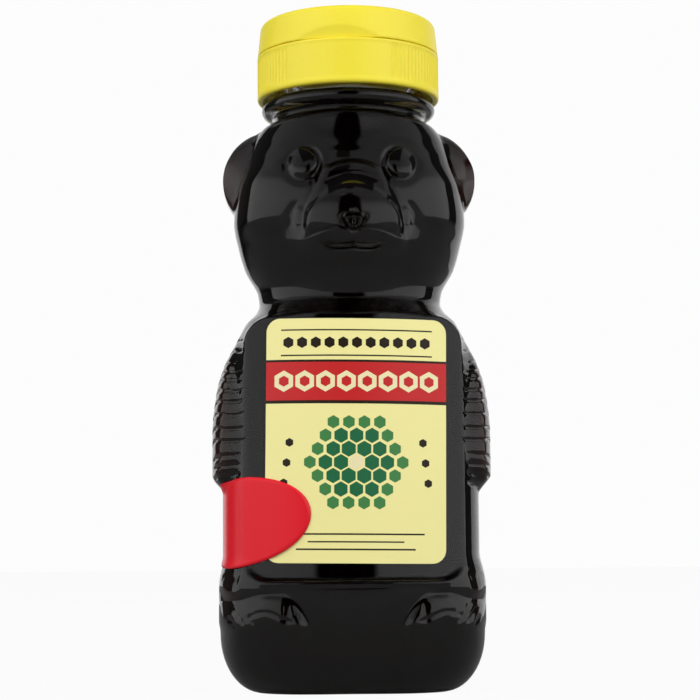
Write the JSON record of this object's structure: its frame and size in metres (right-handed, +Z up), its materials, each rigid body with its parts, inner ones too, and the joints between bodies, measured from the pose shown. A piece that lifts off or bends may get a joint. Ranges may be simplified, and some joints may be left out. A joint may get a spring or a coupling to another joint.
{
  "type": "bear-shaped squeeze bottle",
  "caption": "Bear-shaped clear bottle of dark honey with a yellow screw cap and flip lid, a front label and an oval sticker.",
  "frame": {"origin": "centre of the box that the bottle stands in, on the table", "axes": "+Z up, the bear faces -Y, its ears and arms lie along X"},
  "size_m": [0.0632, 0.0531, 0.1539],
  "materials": {
    "clear_plastic": "clear moulded polyester with a high gloss",
    "dark_honey": "dark reddish-brown liquid",
    "foam_liner": "white foam disc",
    "yellow_plastic": "satin moulded polypropylene",
    "printed_label": "smooth coated film, yellow with green and red print",
    "red_sticker": "smooth red film"
  },
  "bodies": {
    "bottle": {"bottle": "clear_plastic", "honey": "dark_honey", "front_label": "printed_label", "sticker": "red_sticker"},
    "liner": {"seal_liner": "foam_liner"},
    "cap": {"cap_base": "yellow_plastic", "lid_hinge": "yellow_plastic"},
    "lid": {"cap_lid": "yellow_plastic"}
  },
  "joints": [
    {"name": "cap_rise", "type": "slide", "parent": "bottle", "child": "liner", "axis": [0, 0, 1], "range_m": [0, 0.0054]},
    {"name": "cap_turn", "type": "hinge", "parent": "liner", "child": "cap", "pos_m": [0, 0.0019, 0.1351], "axis": [0, 0, 1], "range_deg": [0, 450]},
    {"name": "lid_flip", "type": "hinge", "parent": "cap", "child": "lid", "pos_m": [0.00336, 0.02309, 0.1455], "axis": [-0.9877, 0.1564, 0], "range_deg": [0, 170], "deforming": ["lid_hinge"]}
  ],
  "couplings": [
    {"joint": "cap_rise", "follows": "cap_turn", "m_per_rad": 0.00067322}
  ]
}
